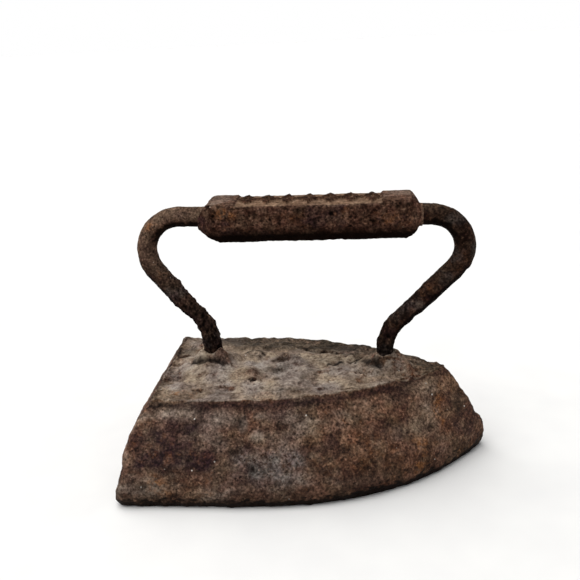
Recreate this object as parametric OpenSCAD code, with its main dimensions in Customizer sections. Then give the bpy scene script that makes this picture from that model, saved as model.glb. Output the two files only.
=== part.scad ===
// Cast-iron flat iron (sad iron), heated on a stove: a solid body, a round-bar handle that is cast into
// it by its two ends, and a cast grip round the bar.
// Millimetres. The origin is on the ground under the middle of the whole, +X to the toe, +Z up.

/* [Body] */
// Length of the sole from heel to toe
sole_len = 156.5; // [140:0.5:175]
// Half the width of the sole at its widest
sole_half_w = 51; // [46:0.2:56]
// Where the sole is widest, as a share of its length from the heel
widest_at = 0.16; // [0.1:0.01:0.3]
// Fullness of the sole's side line: the higher it is, the later the sides turn in to the toe
sole_power = 3.35; // [2.5:0.05:4]
// Fullness of the rim's side line
rim_power = 2.6; // [2.5:0.05:4]
// Radius of the two heel corners, seen from above
corner_r = 4.5; // [2:0.5:8]
// Height of the rim round the top face
rim_z = 39.2; // [36:0.2:44]
// How far the rim lies inside the flange at the heel
rim_in_heel = 15; // [10:0.1:18]
// How far the rim lies inside the flange at the sides
rim_in_side = 18.7; // [14:0.1:22]
// How far the rim lies inside the flange at the toe
rim_in_toe = 18.1; // [14:0.1:24]
// Height of the groove over the flange
groove_z = 12.6; // [10:0.2:15]
// How far the groove lies inside the flange
groove_in = 3; // [1:0.1:5]
// Rise of the top face from the rim to the middle
crown = 2.1; // [0.5:0.1:3]
// Height of the two bosses that the handle stands on
boss_z = 45.2; // [43:0.2:48]
// Radius of a boss at its foot
boss_foot_r = 11; // [8:0.5:12]
// Radius of a boss at its top
boss_top_r = 5.2; // [4.5:0.1:7]

/* [Handle bar] */
// Diameter of the bar
bar_d = 8.2; // [7.4:0.1:9]
// Diameter of the bar where it goes into the body
bar_foot_d = 7.4; // [6:0.1:8]
// Place of the rear leg from the middle of the sole
rear_x = -42.2; // [-48:0.1:-38]
// Place of the front leg from the middle of the sole
front_x = 34.4; // [30:0.1:40]
// Height at which the rear leg starts to lean
rear_straight_z = 50.8; // [48:0.1:54]
// Height at which the front leg starts to lean
front_straight_z = 47.1; // [45.5:0.1:50]
// Lean of the rear leg from upright, degrees
rear_lean = 38.8; // [30:0.1:48]
// Lean of the front leg from upright, degrees
front_lean = 46; // [38:0.1:52]
// Radius of the bend at the foot of each leg
foot_bend_r = 20; // [14:0.5:26]
// Length of the rear leg's leaning stretch
rear_reach = 27.3; // [20:0.1:32]
// Radius of the rear bend at the top
rear_bend_r = 15; // [12:0.1:18]
// Radius of the front bend at the top
front_bend_r = 14.2; // [12:0.1:18]
// Fall of the bar through the grip from rear to front, degrees
bar_fall = 0.9; // [0:0.1:2]

/* [Feet and joints] */
// Height of the lower end of the bar inside the body
root_z = 14; // [10:0.5:20]
// Diameter of the swelled end that locks the bar into the body
root_d = 13; // [10:0.5:16]
// Height of the swelled end
root_h = 4; // [3:0.5:6]
// Distance from the lean's start to the rear leg's welded joint
rear_weld_at = 12; // [8:0.5:20]
// Distance from the lean's start to the front leg's welded joint
front_weld_at = 12; // [8:0.5:20]
// Angle between the bar and the joint's slanted face, degrees
scarf_angle = 35; // [25:1:60]

/* [Grip] */
// Rear end of the grip
grip_rear_x = -42.5; // [-46:0.1:-38]
// Front end of the grip
grip_front_x = 49.6; // [46:0.1:51]
// Underside of the grip
grip_bottom_z = 99; // [97:0.1:101]
// Top of the grip
grip_top_z = 115.7; // [114:0.1:118]
// Half the width of the grip at its widest
grip_half_w = 11; // [9:0.1:12]
// Half the width of its underside
grip_bottom_half_w = 5.6; // [5:0.1:8]
// Length of the flat block left at each end of the top
end_block_len = 10.5; // [6:0.5:14]
// Depth of the sunk panel between the blocks
panel_depth = 0.9; // [0.4:0.1:1.5]
// Number of raised lozenges on the panel
lozenges = 7; // [3:1:9]
// Size of a lozenge along the grip
lozenge_len = 7; // [5:0.5:7.5]
// Size of a lozenge across the grip
lozenge_width = 15.6; // [6:0.2:17]
// Width of the line that draws a lozenge
lozenge_line = 1.8; // [0.8:0.1:2]
// Radius of the dot between two lozenges
dot_r = 1.1; // [0.6:0.1:1.4]

/* [Hidden] */
$fn = 96;

iron_brown = [0.24, 0.19, 0.17];
bar_brown = [0.20, 0.14, 0.12];
grip_brown = [0.26, 0.18, 0.15];

side_steps = 26;     // points along one side of the outline
corner_steps = 4;    // points round one heel corner
wall_steps = 9;      // rings from the groove to the rim
flange = [[0, 1.4], [1.2, 0.5], [3, 0], [5, 0.3], [9, 2.1]];    // height, distance inside the edge
heel_curve = 2;    // how the heel leans in with height: 1 is a straight slope, 2 an even curve
side_curve = 1.3;
crown_rings = [0.86, 0.6, 0.35, 0.12];    // share of the rim's width

bar_r = bar_d / 2;
foot_r = bar_foot_d / 2;
far = 200;           // longer than anything that it cuts
lap = 0.3;           // how far a straight stretch runs over the bend that it meets
hair = 0.03;         // how much thicker it is there, so that the two make one clean solid

// ---- Body ------------------------------------------------------------------------------------

// Half-width of an outline at x, from its heel, toe, greatest half-width and fullness.
function side_y(x, heel, toe, half_w, power) =
    let (start = heel + (toe - heel) * widest_at, t = (x - start) / (toe - start))
    t <= 0 ? half_w : half_w * (1 - pow(t, power));

// One side of an outline, from just behind the toe to the end of the heel's corner.
function half_outline(heel, toe, half_w, power) =
    let (r = min(corner_r, half_w * 0.6), last = heel + r)
    concat(
        [for (i = [1:side_steps]) let (x = toe - (toe - last) * pow(i / side_steps, 1.3))
            [x, side_y(x, heel, toe, half_w, power)]],
        [for (i = [1:corner_steps]) let (a = 90 * i / corner_steps)
            [last - r * sin(a), half_w - r + r * cos(a)]]
    );

// A closed ring at height z, from its distances inside the flange's edge.
function ring(z, in_heel, in_side, in_toe, power) =
    let (
        heel = in_heel - sole_len / 2,
        toe = sole_len / 2 - in_toe,
        half = half_outline(heel, toe, sole_half_w - in_side, power),
        n = len(half)
    )
    concat(
        [[toe, 0, z]],
        [for (p = half) [p.x, p.y, z]],
        [for (i = [n - 1:-1:0]) [half[i].x, -half[i].y, z]]
    );

function share(from, to, s, curve) = from + (to - from) * pow(s, curve);

rim_half_w = sole_half_w - rim_in_side;

body_rings = concat(
    [for (f = flange) ring(f[0], f[1], f[1], f[1], sole_power)],
    [for (i = [0:wall_steps]) let (s = i / wall_steps)
        ring(groove_z + (rim_z - groove_z) * s,
             share(groove_in, rim_in_heel, s, heel_curve),
             share(groove_in, rim_in_side, s, side_curve),
             share(groove_in, rim_in_toe, s, side_curve),
             share(sole_power, rim_power, s, 1))],
    [for (k = crown_rings) let (shrink = (1 - k) * rim_half_w)
        ring(rim_z + crown * (1 - k * k),
             rim_in_heel + shrink, rim_in_side + shrink, rim_in_toe + shrink * 1.6, rim_power)]
);

module loft(rings) {
    n = len(rings[0]);
    last = len(rings) - 1;
    polyhedron(
        points = [for (r = rings) each r],
        faces = concat(
            [[for (i = [0:n - 1]) i]],
            [[for (i = [n - 1:-1:0]) last * n + i]],
            [for (j = [0:last - 1], i = [0:n - 1]) let (k = (i + 1) % n)
                [j * n + i, (j + 1) * n + i, (j + 1) * n + k, j * n + k]]
        )
    );
}

module boss(x)
    translate([x, 0, rim_z - 2])
        cylinder(h = boss_z - rim_z + 2, r1 = boss_foot_r, r2 = boss_top_r);

module body()
    color(iron_brown) difference() {
        union() {
            loft(body_rings);
            boss(rear_x);
            boss(front_x);
        }
        root(rear_x, far);
        root(front_x, far);
    }

// ---- Handle bar ------------------------------------------------------------------------------

// The lower end of the bar: an upright stem on a swelled foot, buried up to the top of the boss.
module root(x, top)
    translate([x, 0, root_z]) {
        cylinder(h = root_h, d = root_d);
        cylinder(h = top - root_z, r = foot_r + hair);
    }

// A straight stretch along +Z; what follows starts at its end. It laps over the bends at its ends.
module straight(len, r1 = bar_r, r2 = bar_r) {
    translate([0, 0, -lap]) cylinder(h = len + 2 * lap, r1 = r1 + hair, r2 = r2 + hair);
    translate([0, 0, len]) children();
}

// A bend that turns +Z towards +X, or towards -X if the turn is negative.
module bend(radius, turn, r = bar_r) {
    mirror([turn < 0 ? 1 : 0, 0, 0])
        translate([radius, 0, 0])
            rotate([90, 0, 0])
                rotate(180 - abs(turn))
                    rotate_extrude(angle = abs(turn))
                        translate([radius, 0]) circle(r);
    translate([sign(turn) * radius * (1 - cos(turn)), 0, radius * sin(abs(turn))])
        rotate([0, turn, 0]) children();
}

// Where a leg's leaning stretch starts, [x, z]; side is 1 for the front leg and -1 for the rear one.
function lean_start(x, z, lean, side) =
    [x + side * foot_bend_r * (1 - cos(lean)), z + foot_bend_r * sin(lean)];

// From the start of a leg's leaning stretch to the end of its top bend, less the stretch itself.
function over_bend(lean, r, fall, side) =
    [side * -r * cos(lean) + r * sin(fall), r * sin(lean) + r * cos(fall)];

rear_lean_start = lean_start(rear_x, rear_straight_z, rear_lean, -1);
front_lean_start = lean_start(front_x, front_straight_z, front_lean, 1);
rear_dir = [-sin(rear_lean), cos(rear_lean)];
front_dir = [sin(front_lean), cos(front_lean)];
rear_top = rear_lean_start + rear_reach * rear_dir + over_bend(rear_lean, rear_bend_r, bar_fall, -1);
front_over = front_lean_start + over_bend(front_lean, front_bend_r, bar_fall, 1);

// The front leg's reach and the top stretch's length bring the bar down on the front foot.
up = [sin(bar_fall), cos(bar_fall)];
front_reach = (up * (rear_top - front_over)) / (up * front_dir);
front_top = front_over + front_reach * front_dir;
top_len = norm(front_top - rear_top);

module rear_leg()
    translate([rear_x, 0, rear_straight_z])
        bend(foot_bend_r, -rear_lean, foot_r)
            straight(rear_reach, foot_r, bar_r);

module front_leg()
    translate([front_x, 0, front_straight_z])
        bend(foot_bend_r, front_lean, foot_r)
            straight(front_reach, foot_r, bar_r);

// Sets what follows at the end of the rear bend, along the top of the bar.
module on_top()
    translate([rear_top.x, 0, rear_top.y])
        rotate([0, 90 + bar_fall, 0]) children();

// The stretch of the bar that the grip is cast round.
module top_bar() on_top() straight(top_len);

// The top of the bar with both of its bends.
module arch() {
    on_top() mirror([0, 0, 1]) bend(rear_bend_r, 90 + bar_fall + rear_lean);
    top_bar();
    on_top() translate([0, 0, top_len]) bend(front_bend_r, 90 - bar_fall + front_lean);
}

// Everything below a slanted joint face on a leg that leans by the angle given.
module below_joint(start, dir, lean, at)
    translate([start.x + dir.x * at, 0, start.y + dir.y * at])
        rotate([0, lean, 0])
            rotate([0, scarf_angle - 90, 0])
                translate([-far / 2, -far / 2, -far]) cube(far);

module below_rear_joint() below_joint(rear_lean_start, rear_dir, -rear_lean, rear_weld_at);
module below_front_joint() below_joint(front_lean_start, front_dir, front_lean, front_weld_at);

module rear_post()
    color(bar_brown) union() {
        root(rear_x, rear_straight_z + lap);
        intersection() {
            rear_leg();
            below_rear_joint();
        }
    }

module front_post()
    color(bar_brown) union() {
        root(front_x, front_straight_z + lap);
        intersection() {
            front_leg();
            below_front_joint();
        }
    }

module handle_bow()
    color(bar_brown) union() {
        arch();
        difference() {
            rear_leg();
            below_rear_joint();
        }
        difference() {
            front_leg();
            below_front_joint();
        }
    }

// ---- Grip ------------------------------------------------------------------------------------

shoulder_z = grip_top_z - 2.2;     // where the sides start to round over to the top
waist_z = grip_top_z - 8.4;        // where the sides start to slope in to the underside
panel_z = grip_top_z - panel_depth;
panel_rear_x = grip_rear_x + 5.5 + end_block_len;
panel_front_x = grip_front_x - 5.5 - end_block_len;

// One side of the grip's section, from its underside up, [distance from the middle, height].
grip_side = [
    [grip_bottom_half_w, grip_bottom_z], [grip_half_w - 0.6, waist_z - 1.5],
    [grip_half_w, waist_z + 1], [grip_half_w, shoulder_z], [grip_half_w - 1.4, grip_top_z]
];

// The grip seen from the side: the middle and its two tapered ends.
grip_profile = [
    [grip_rear_x + 9.6, grip_bottom_z], [grip_front_x - 5.3, grip_bottom_z],
    [grip_front_x - 2, grip_bottom_z + 2], [grip_front_x, waist_z - 0.5],
    [grip_front_x - 1.4, shoulder_z - 2], [grip_front_x - 3, shoulder_z + 1],
    [grip_front_x - 5, grip_top_z], [grip_rear_x + 6, grip_top_z],
    [grip_rear_x + 3.3, shoulder_z], [grip_rear_x, waist_z - 1],
    [grip_rear_x + 1.3, grip_bottom_z + 4], [grip_rear_x + 4, grip_bottom_z + 0.7]
];

// Half of the grip seen from above.
grip_plan = [
    [grip_rear_x, bar_r + 1.4], [grip_rear_x + 7, grip_half_w],
    [grip_front_x - 5.5, grip_half_w], [grip_front_x, bar_r + 1.8]
];

// A list of points and its mirror image across the first axis or the second.
function both_sides(points, across) =
    concat(points, [for (i = [len(points) - 1:-1:0])
        [across.x * points[i].x, across.y * points[i].y]]);

module grip_blank()
    intersection() {
        translate([-far / 2, 0, 0])
            rotate([90, 0, 90])
                linear_extrude(far) polygon(both_sides(grip_side, [-1, 1]));
        translate([0, far / 2, 0])
            rotate([90, 0, 0])
                linear_extrude(far) polygon(grip_profile);
        linear_extrude(far) polygon(both_sides(grip_plan, [1, -1]));
    }

module lozenge(len, width)
    polygon([for (a = [0:90:270]) [len / 2 * cos(a), width / 2 * sin(a)]]);

// A row of lozenges, drawn as raised lines, with dots between them, standing on the panel.
module grip_marks() {
    pitch = (panel_front_x - panel_rear_x) / lozenges;
    inner = 1 - 2.4 * lozenge_line / lozenge_len;    // the inner lozenge's share of the outer one
    translate([panel_rear_x + pitch / 2, 0, panel_z])
        for (i = [0:lozenges - 1]) translate([i * pitch, 0, 0]) {
            linear_extrude(panel_depth) difference() {
                lozenge(lozenge_len, lozenge_width);
                lozenge(lozenge_len * inner, lozenge_width * inner);
            }
            if (i < lozenges - 1) translate([pitch / 2, 0, 0]) cylinder(h = panel_depth, r = dot_r);
        }
}

module grip()
    color(grip_brown) difference() {
        union() {
            difference() {
                grip_blank();
                translate([panel_rear_x, -far / 2, panel_z])
                    cube([panel_front_x - panel_rear_x, far, far]);
            }
            grip_marks();
        }
        top_bar();
    }

body();
rear_post();
front_post();
handle_bow();
grip();
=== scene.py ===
"""Looks of the flat iron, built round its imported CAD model. +X runs to the toe and +Z up.

Each CAD solid is replaced by a dense mesh of the same shape that also has the lumps, pits and worn edges of
an old casting, with a procedural rust material. The shapes are worked out in millimetres; add_piece() makes
them metres. Surface patterns are functions of place, so they don't depend on how fine a mesh is.
"""
import math

import bpy
import numpy as np
from mathutils import Matrix, Vector


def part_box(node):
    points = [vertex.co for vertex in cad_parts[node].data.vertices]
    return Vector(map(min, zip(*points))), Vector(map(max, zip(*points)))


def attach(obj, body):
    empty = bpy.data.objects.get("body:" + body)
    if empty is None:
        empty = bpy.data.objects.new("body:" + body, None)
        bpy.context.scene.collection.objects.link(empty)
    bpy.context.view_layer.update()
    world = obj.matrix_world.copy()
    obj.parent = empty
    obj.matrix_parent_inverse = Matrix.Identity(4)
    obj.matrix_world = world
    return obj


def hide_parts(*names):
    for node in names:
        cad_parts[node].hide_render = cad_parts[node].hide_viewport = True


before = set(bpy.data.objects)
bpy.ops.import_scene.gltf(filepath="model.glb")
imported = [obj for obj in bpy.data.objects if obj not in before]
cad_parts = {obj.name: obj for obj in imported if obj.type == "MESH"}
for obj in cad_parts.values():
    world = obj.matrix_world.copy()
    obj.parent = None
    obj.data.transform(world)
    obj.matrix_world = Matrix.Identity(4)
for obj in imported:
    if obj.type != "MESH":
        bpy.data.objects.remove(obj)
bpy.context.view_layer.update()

MM = 0.001


def box_mm(node):
    low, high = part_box(node)
    return np.array(low) / MM, np.array(high) / MM


# ---- Patterns: repeatable noise over points in millimetres -------------------------------------

EDGES = np.array(
    [(1, 1, 0), (-1, 1, 0), (1, -1, 0), (-1, -1, 0), (1, 0, 1), (-1, 0, 1),
     (1, 0, -1), (-1, 0, -1), (0, 1, 1), (0, -1, 1), (0, 1, -1), (0, -1, -1)], float)


def hashed(cell, seed):
    """A repeatable number from 0 to 1 for each lattice cell."""
    c = cell.astype(np.int64).astype(np.uint64)
    mask = np.uint64(0xFFFFFFFF)
    h = (c[:, 0] * np.uint64(374761393) + c[:, 1] * np.uint64(668265263)
         + c[:, 2] * np.uint64(2246822519) + np.uint64(seed) * np.uint64(3266489917)) & mask
    for shift, factor in ((15, 2246822519), (13, 3266489917), (16, 668265263)):
        h = ((h ^ (h >> np.uint64(shift))) * np.uint64(factor)) & mask
    return (h ^ (h >> np.uint64(15))).astype(float) / float(0xFFFFFFFF)


def noise(p, size, seed):
    """Smooth gradient noise, about -1 to 1, with features of the size given."""
    q = p / size + 1000.0
    cell = np.floor(q)
    f = q - cell
    w = f * f * f * (f * (f * 6 - 15) + 10)
    total = np.zeros(len(p))
    for corner in np.ndindex(2, 2, 2):
        corner = np.array(corner, float)
        g = EDGES[np.minimum((hashed(cell + corner, seed) * 12).astype(int), 11)]
        weight = np.prod(np.where(corner > 0, w, 1 - w), axis=1)
        total += weight * ((f - corner) * g).sum(1)
    return total * 1.4


def fbm(p, size, octaves, seed, gain=0.5):
    """Noise with finer and fainter copies of itself."""
    return sum(noise(p, size / 2 ** k, seed + k) * gain ** k for k in range(octaves))


def cells(p, size, seed):
    """Distance to the nearest of a loose set of points, as a share of size, and that point's own number."""
    q = p / size + 1000.0
    cell = np.floor(q)
    nearest = np.full(len(p), 9.0)
    tag = np.zeros(len(p))
    for offset in np.ndindex(3, 3, 3):
        c = cell + np.array(offset, float) - 1
        point = c + np.stack([hashed(c, seed + k) for k in range(3)], axis=1)
        d = np.linalg.norm(q - point, axis=1)
        closer = d < nearest
        nearest = np.where(closer, d, nearest)
        tag = np.where(closer, hashed(c, seed + 3), tag)
    return nearest, tag


def pits(p, size, seed, share):
    """Round pits, 0 to 1 deep, in that share of the cells; each has its own width."""
    d, tag = cells(p, size, seed)
    width = 0.25 + 0.3 * (tag / share)
    return np.where(tag < share, np.clip(1 - (d / width) ** 2, 0, 1), 0)


def smooth(x, low, high):
    """0 below low, 1 above high, and an even curve between them."""
    t = np.clip((x - low) / (high - low), 0, 1)
    return t * t * (3 - 2 * t)


def band(values, middle, width):
    """A bell curve: 1 at the middle and near 0 at twice the width from it."""
    return np.exp(-((values - middle) / width) ** 2)


def drift(p, size, *seeds):
    """A noisy shift for each point, with one seed for each axis that it moves along."""
    shift = np.zeros_like(p)
    for axis, seed in enumerate(seeds):
        shift[:, axis] = noise(p, size, seed)
    return shift


def spot(p, centre, radius):
    """1 at a point and 0 beyond the radius. radius may differ along X, Y and Z."""
    d = np.linalg.norm((p - np.array(centre)) / np.array(radius, float), axis=1)
    return 1 - smooth(d, 0, 1)


def stroke(p, line, width):
    """1 on a line drawn in plan through the points given, and 0 beyond the width to each side."""
    nearest = np.full(len(p), 1e9)
    for (x0, y0), (x1, y1) in zip(line[:-1], line[1:]):
        dx, dy = x1 - x0, y1 - y0
        t = np.clip(((p[:, 0] - x0) * dx + (p[:, 1] - y0) * dy) / (dx * dx + dy * dy), 0, 1)
        nearest = np.minimum(nearest, np.hypot(p[:, 0] - x0 - t * dx, p[:, 1] - y0 - t * dy))
    return 1 - smooth(nearest, 0, width)


def plan_spot(p, x, y, radius_x, radius_y=None):
    """1 at a point in plan and 0 beyond the radius."""
    d = np.hypot((p[:, 0] - x) / radius_x, (p[:, 1] - y) / (radius_y or radius_x))
    return 1 - smooth(d, 0, 1)


# ---- Meshes ------------------------------------------------------------------------------------

def grid_faces(rows, columns, closed):
    """Quads over a grid of points; closed joins the last column to the first."""
    r = np.arange(rows - 1)[:, None]
    c = np.arange(columns if closed else columns - 1)[None, :]
    following = (c + 1) % columns
    a, b = r * columns + c, r * columns + following
    return np.stack([a, b, b + columns, a + columns], axis=-1).reshape(-1, 4)


def vertex_normals(points, quads):
    """Area-weighted normals at the points of a quad mesh."""
    across = np.cross(points[quads[:, 2]] - points[quads[:, 0]], points[quads[:, 3]] - points[quads[:, 1]])
    total = np.zeros_like(points)
    for k in range(4):
        for axis in range(3):
            total[:, axis] += np.bincount(quads[:, k], across[:, axis], len(points))
    return total / np.maximum(np.linalg.norm(total, axis=1, keepdims=True), 1e-12)


def add_piece(name, points, quads, caps, node, material, paint):
    """Makes a mesh object from points in millimetres, with one float attribute for each entry of paint."""
    mesh = bpy.data.meshes.new(name)
    # Where a row of the grid closes to one point, its quads repeat that point and have to be triangles.
    faces = [list(dict.fromkeys(face)) for face in quads.tolist()] + [list(c) for c in caps]
    mesh.from_pydata((points * MM).tolist(), [], faces)
    mesh.validate()
    mesh.polygons.foreach_set("use_smooth", [True] * len(mesh.polygons))
    for key, values in paint.items():
        layer = mesh.attributes.new(key, "FLOAT", "POINT")
        layer.data.foreach_set("value", np.clip(values, 0, 1).astype(np.float32))
    mesh.materials.append(material)
    piece = bpy.data.objects.new(name, mesh)
    bpy.context.scene.collection.objects.link(piece)
    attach(piece, "root")
    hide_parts(node)
    return piece


# ---- Materials ---------------------------------------------------------------------------------

class Nodes:
    """Short calls for building a node tree."""

    def __init__(self, name):
        self.material = bpy.data.materials.new(name)
        self.material.use_nodes = True
        self.tree = self.material.node_tree
        self.tree.nodes.clear()
        self.place = self.add("ShaderNodeTexCoord").outputs["Object"]

    def add(self, kind, inputs=(), **settings):
        node = self.tree.nodes.new(kind)
        for key, value in settings.items():
            setattr(node, key, value)
        for key, value in dict(inputs).items():
            if isinstance(value, bpy.types.NodeSocket):
                self.tree.links.new(value, node.inputs[key])
            else:
                node.inputs[key].default_value = value
        return node

    def noise(self, size_mm, detail=3.0, rough=0.6, distortion=0.0, offset=0.0):
        """Noise from 0 to 1 with features of the size given."""
        place = self.place
        if offset:
            place = self.add("ShaderNodeVectorMath", {0: place, 1: (offset, offset, offset)}).outputs[0]
        return self.add("ShaderNodeTexNoise", {
            "Vector": place, "Scale": 1 / (size_mm * MM), "Detail": detail, "Roughness": rough,
            "Distortion": distortion}).outputs[0]

    def voronoi(self, size_mm, feature="F1"):
        return self.add("ShaderNodeTexVoronoi", {"Vector": self.place, "Scale": 1 / (size_mm * MM)},
                        feature=feature).outputs["Distance"]

    def paint(self, key):
        return self.add("ShaderNodeAttribute", attribute_name=key).outputs["Fac"]

    def range(self, value, low, high, to_low=0.0, to_high=1.0):
        """Maps low..high to to_low..to_high, and clamps."""
        return self.add("ShaderNodeMapRange", {
            "Value": value, "From Min": low, "From Max": high, "To Min": to_low, "To Max": to_high},
            clamp=True).outputs[0]

    def math(self, operation, a, b):
        return self.add("ShaderNodeMath", {0: a, 1: b}, operation=operation, use_clamp=False).outputs[0]

    def times(self, a, b):
        return self.math("MULTIPLY", a, b)

    def plus(self, a, b):
        return self.math("ADD", a, b)

    def mix(self, share, a, b, blend="MIX"):
        """Mixes two colours."""
        node = self.add("ShaderNodeMix", data_type="RGBA", blend_type=blend, clamp_factor=True)
        for index, value in ((0, share), (6, a), (7, b)):
            if isinstance(value, bpy.types.NodeSocket):
                self.tree.links.new(value, node.inputs[index])
            elif index == 0:
                node.inputs[index].default_value = value
            else:
                node.inputs[index].default_value = (*value, 1)
        return node.outputs[2]

    def grey(self, value):
        return self.add("ShaderNodeCombineColor", {0: value, 1: value, 2: value}).outputs[0]

    def bump(self, height, distance_mm, strength, normal=None):
        inputs = {"Height": height, "Distance": distance_mm * MM, "Strength": strength}
        if normal is not None:
            inputs["Normal"] = normal
        return self.add("ShaderNodeBump", inputs).outputs[0]

    def finish(self, colour, roughness, normal, specular):
        shader = self.add("ShaderNodeBsdfPrincipled", {
            "Base Color": colour, "Roughness": roughness, "Normal": normal,
            "Specular IOR Level": specular})
        output = self.add("ShaderNodeOutputMaterial")
        self.tree.links.new(shader.outputs[0], output.inputs[0])
        return self.material


def scaled(colour, factor):
    return tuple(c * factor for c in colour)


def rust(name, dark, mid, light, tint=(1, 1, 1), specular=0.06, rough=(0.55, 0.9)):
    """Old rusted iron. The colours run from the deepest brown to the worn high spots; dust lies over them.

    The mesh's own attributes place what isn't even over the piece: dusting, which on some lit faces is
    painted light, and how warm it is; dark recesses, with painted shade on undersides and in creases; orange,
    purple, bluish grey that is partly a painted sheen, and moss. tint colours the dusting.
    """
    n = Nodes(name)
    patch = n.noise(15, 4, 0.6, 0.4)
    blotch = n.noise(5.0, 5, 0.65, 0.3, offset=3.1)
    grain = n.noise(1.6, 4, 0.75, offset=7.7)
    speck = n.noise(0.75, 2, 0.6, offset=1.9)
    pit = n.voronoi(1.4)
    fleck = n.voronoi(7.5)

    body = n.mix(n.range(patch, 0.34, 0.62), dark, mid)
    body = n.mix(n.range(blotch, 0.44, 0.70, 0, 0.8), body, light)
    body = n.mix(n.range(blotch, 0.42, 0.28, 0, 0.75), body, scaled(dark, 0.5))
    # Bluish grey, partly a painted sheen: a lighter grey colour where set, and lower roughness further down.
    blue_grey_and_painted_sheen = n.times(n.paint("blue_grey_and_painted_sheen"), n.range(n.plus(n.times(blotch, 0.5), grain), 0.56, 0.82))
    body = n.mix(n.times(blue_grey_and_painted_sheen, 0.85), body, (0.128, 0.120, 0.122))
    body = n.mix(n.range(grain, 0.55, 0.68, 0, 0.6), body, scaled(light, 1.3))
    purple = n.times(n.paint("purple"), n.range(n.plus(blotch, n.times(grain, 0.6)), 0.70, 1.06, 1, 0.4))
    body = n.mix(purple, body, (0.024, 0.0125, 0.0158))
    body = n.mix(n.range(grain, 0.44, 0.34, 0, 0.85), body, scaled(dark, 0.30))

    hue = n.noise(9.0, 4, 0.6, offset=5.5)
    hue_tint = n.mix(n.range(hue, 0.40, 0.60), (0.97, 1.0, 0.93), (1.08, 0.96, 0.95))
    warm_tint = n.mix(n.paint("warm"), (0.98, 0.99, 1.0), (1.08, 0.97, 0.84))
    body = n.mix(1.0, n.mix(1.0, body, hue_tint, "MULTIPLY"), warm_tint, "MULTIPLY")
    rusty = n.noise(2.8, 5, 0.7, 0.5, offset=11.3)
    orange = n.paint("orange")
    fresh = n.times(orange, n.range(rusty, 0.44, 0.60))
    stray = n.range(n.plus(rusty, n.times(patch, 0.5)), 0.84, 1.0, 0, 0.5)
    body = n.mix(n.math("MAXIMUM", fresh, n.times(stray, 0.8)), body, (0.170, 0.063, 0.024))

    def dust_colour(*values):
        return tuple(v * t for v, t in zip(values, tint))

    # Dusty colours where the attribute is set; on some lit faces this is painted light.
    dust_and_painted_light_cover = n.paint("dust_and_painted_light")
    cloud = n.range(blotch, 0.36, 0.62)
    sandy = n.mix(cloud, dust_colour(0.348, 0.260, 0.182), dust_colour(0.495, 0.400, 0.296))
    ashy = n.mix(cloud, dust_colour(0.304, 0.244, 0.210), dust_colour(0.465, 0.406, 0.358))
    dusty = n.mix(n.paint("warm"), ashy, sandy)
    dusty = n.mix(n.range(patch, 0.52, 0.40, 0, 0.5), dusty, dust_colour(0.150, 0.100, 0.078))
    dusty = n.mix(n.range(grain, 0.44, 0.30, 0, 0.7), dusty, dust_colour(0.080, 0.053, 0.040))
    dusty = n.mix(n.range(grain, 0.58, 0.74, 0, 0.4), dusty, dust_colour(0.50, 0.44, 0.38))
    cover = n.times(dust_and_painted_light_cover, n.range(n.plus(grain, n.times(speck, 0.5)), 0.50, 0.80, 0.45, 1))
    body = n.mix(cover, body, dusty)
    ochre = n.range(n.plus(rusty, n.times(grain, 0.5)), 0.72, 0.9, 0, 0.85)
    body = n.mix(n.times(n.times(orange, orange), ochre), body, (0.270, 0.118, 0.044))
    moss = n.times(n.paint("moss"), n.range(n.plus(blotch, n.times(grain, 0.5)), 0.60, 0.98, 1, 0.45))
    body = n.mix(n.times(moss, 0.92), body, (0.025, 0.020, 0.0135))
    body = n.mix(n.range(fleck, 0.055, 0.03, 0, 0.85), body, dust_colour(0.66, 0.61, 0.55))
    hole = n.times(n.range(n.voronoi(2.3), 0.20, 0.12, 0, 0.8), n.range(blotch, 0.42, 0.56))
    body = n.mix(n.times(hole, n.range(dust_and_painted_light_cover, 0.1, 0.5, 1, 0.25)), body, scaled(dark, 0.15))
    coarse = n.plus(n.times(grain, 0.8), n.plus(n.times(speck, 0.4), n.times(pit, 0.3)))
    gritty = n.range(coarse, 0.46, 0.98, 0.52, 1.46)
    finest = n.range(n.noise(0.95, 1, 0.5, offset=4.3), 0.38, 0.62, 0.62, 1.40)
    for grit, under_dust in ((gritty, 0.55), (finest, 0.35)):
        body = n.mix(n.range(dust_and_painted_light_cover, 0.2, 0.8, 1.0, under_dust), body, n.grey(grit), "MULTIPLY")
    # Near black where this attribute is set: dark pits and marks, and painted shade on undersides, along the
    # bottom, in creases and under folds.
    body = n.mix(n.times(n.paint("hollow_and_painted_shade"), 0.975), body, scaled(dark, 0.08))

    roughness = n.range(n.plus(grain, n.times(blue_grey_and_painted_sheen, -0.4)), 0.2, 0.8, rough[0], rough[1])
    normal = n.bump(blotch, 0.7, 0.5)
    normal = n.bump(n.plus(grain, n.times(n.plus(pit, hole), -0.5)), 0.6, 0.85, normal)
    normal = n.bump(speck, 0.2, 0.65, normal)
    return n.finish(body, roughness, normal, specular)


body_rust = rust("body_rust", (0.042, 0.0225, 0.0165), (0.102, 0.058, 0.0405), (0.194, 0.128, 0.095),
                 tint=(0.925, 0.935, 0.94))
bar_rust = rust("bar_rust", (0.018, 0.0088, 0.0066), (0.046, 0.026, 0.0185), (0.128, 0.080, 0.059),
                tint=(0.66, 0.58, 0.53), specular=0.015)
grip_rust = rust("grip_rust", (0.027, 0.0118, 0.0078), (0.067, 0.032, 0.0215), (0.150, 0.086, 0.060),
                 tint=(0.64, 0.52, 0.45), specular=0.01)

# ---- Body --------------------------------------------------------------------------------------

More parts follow.
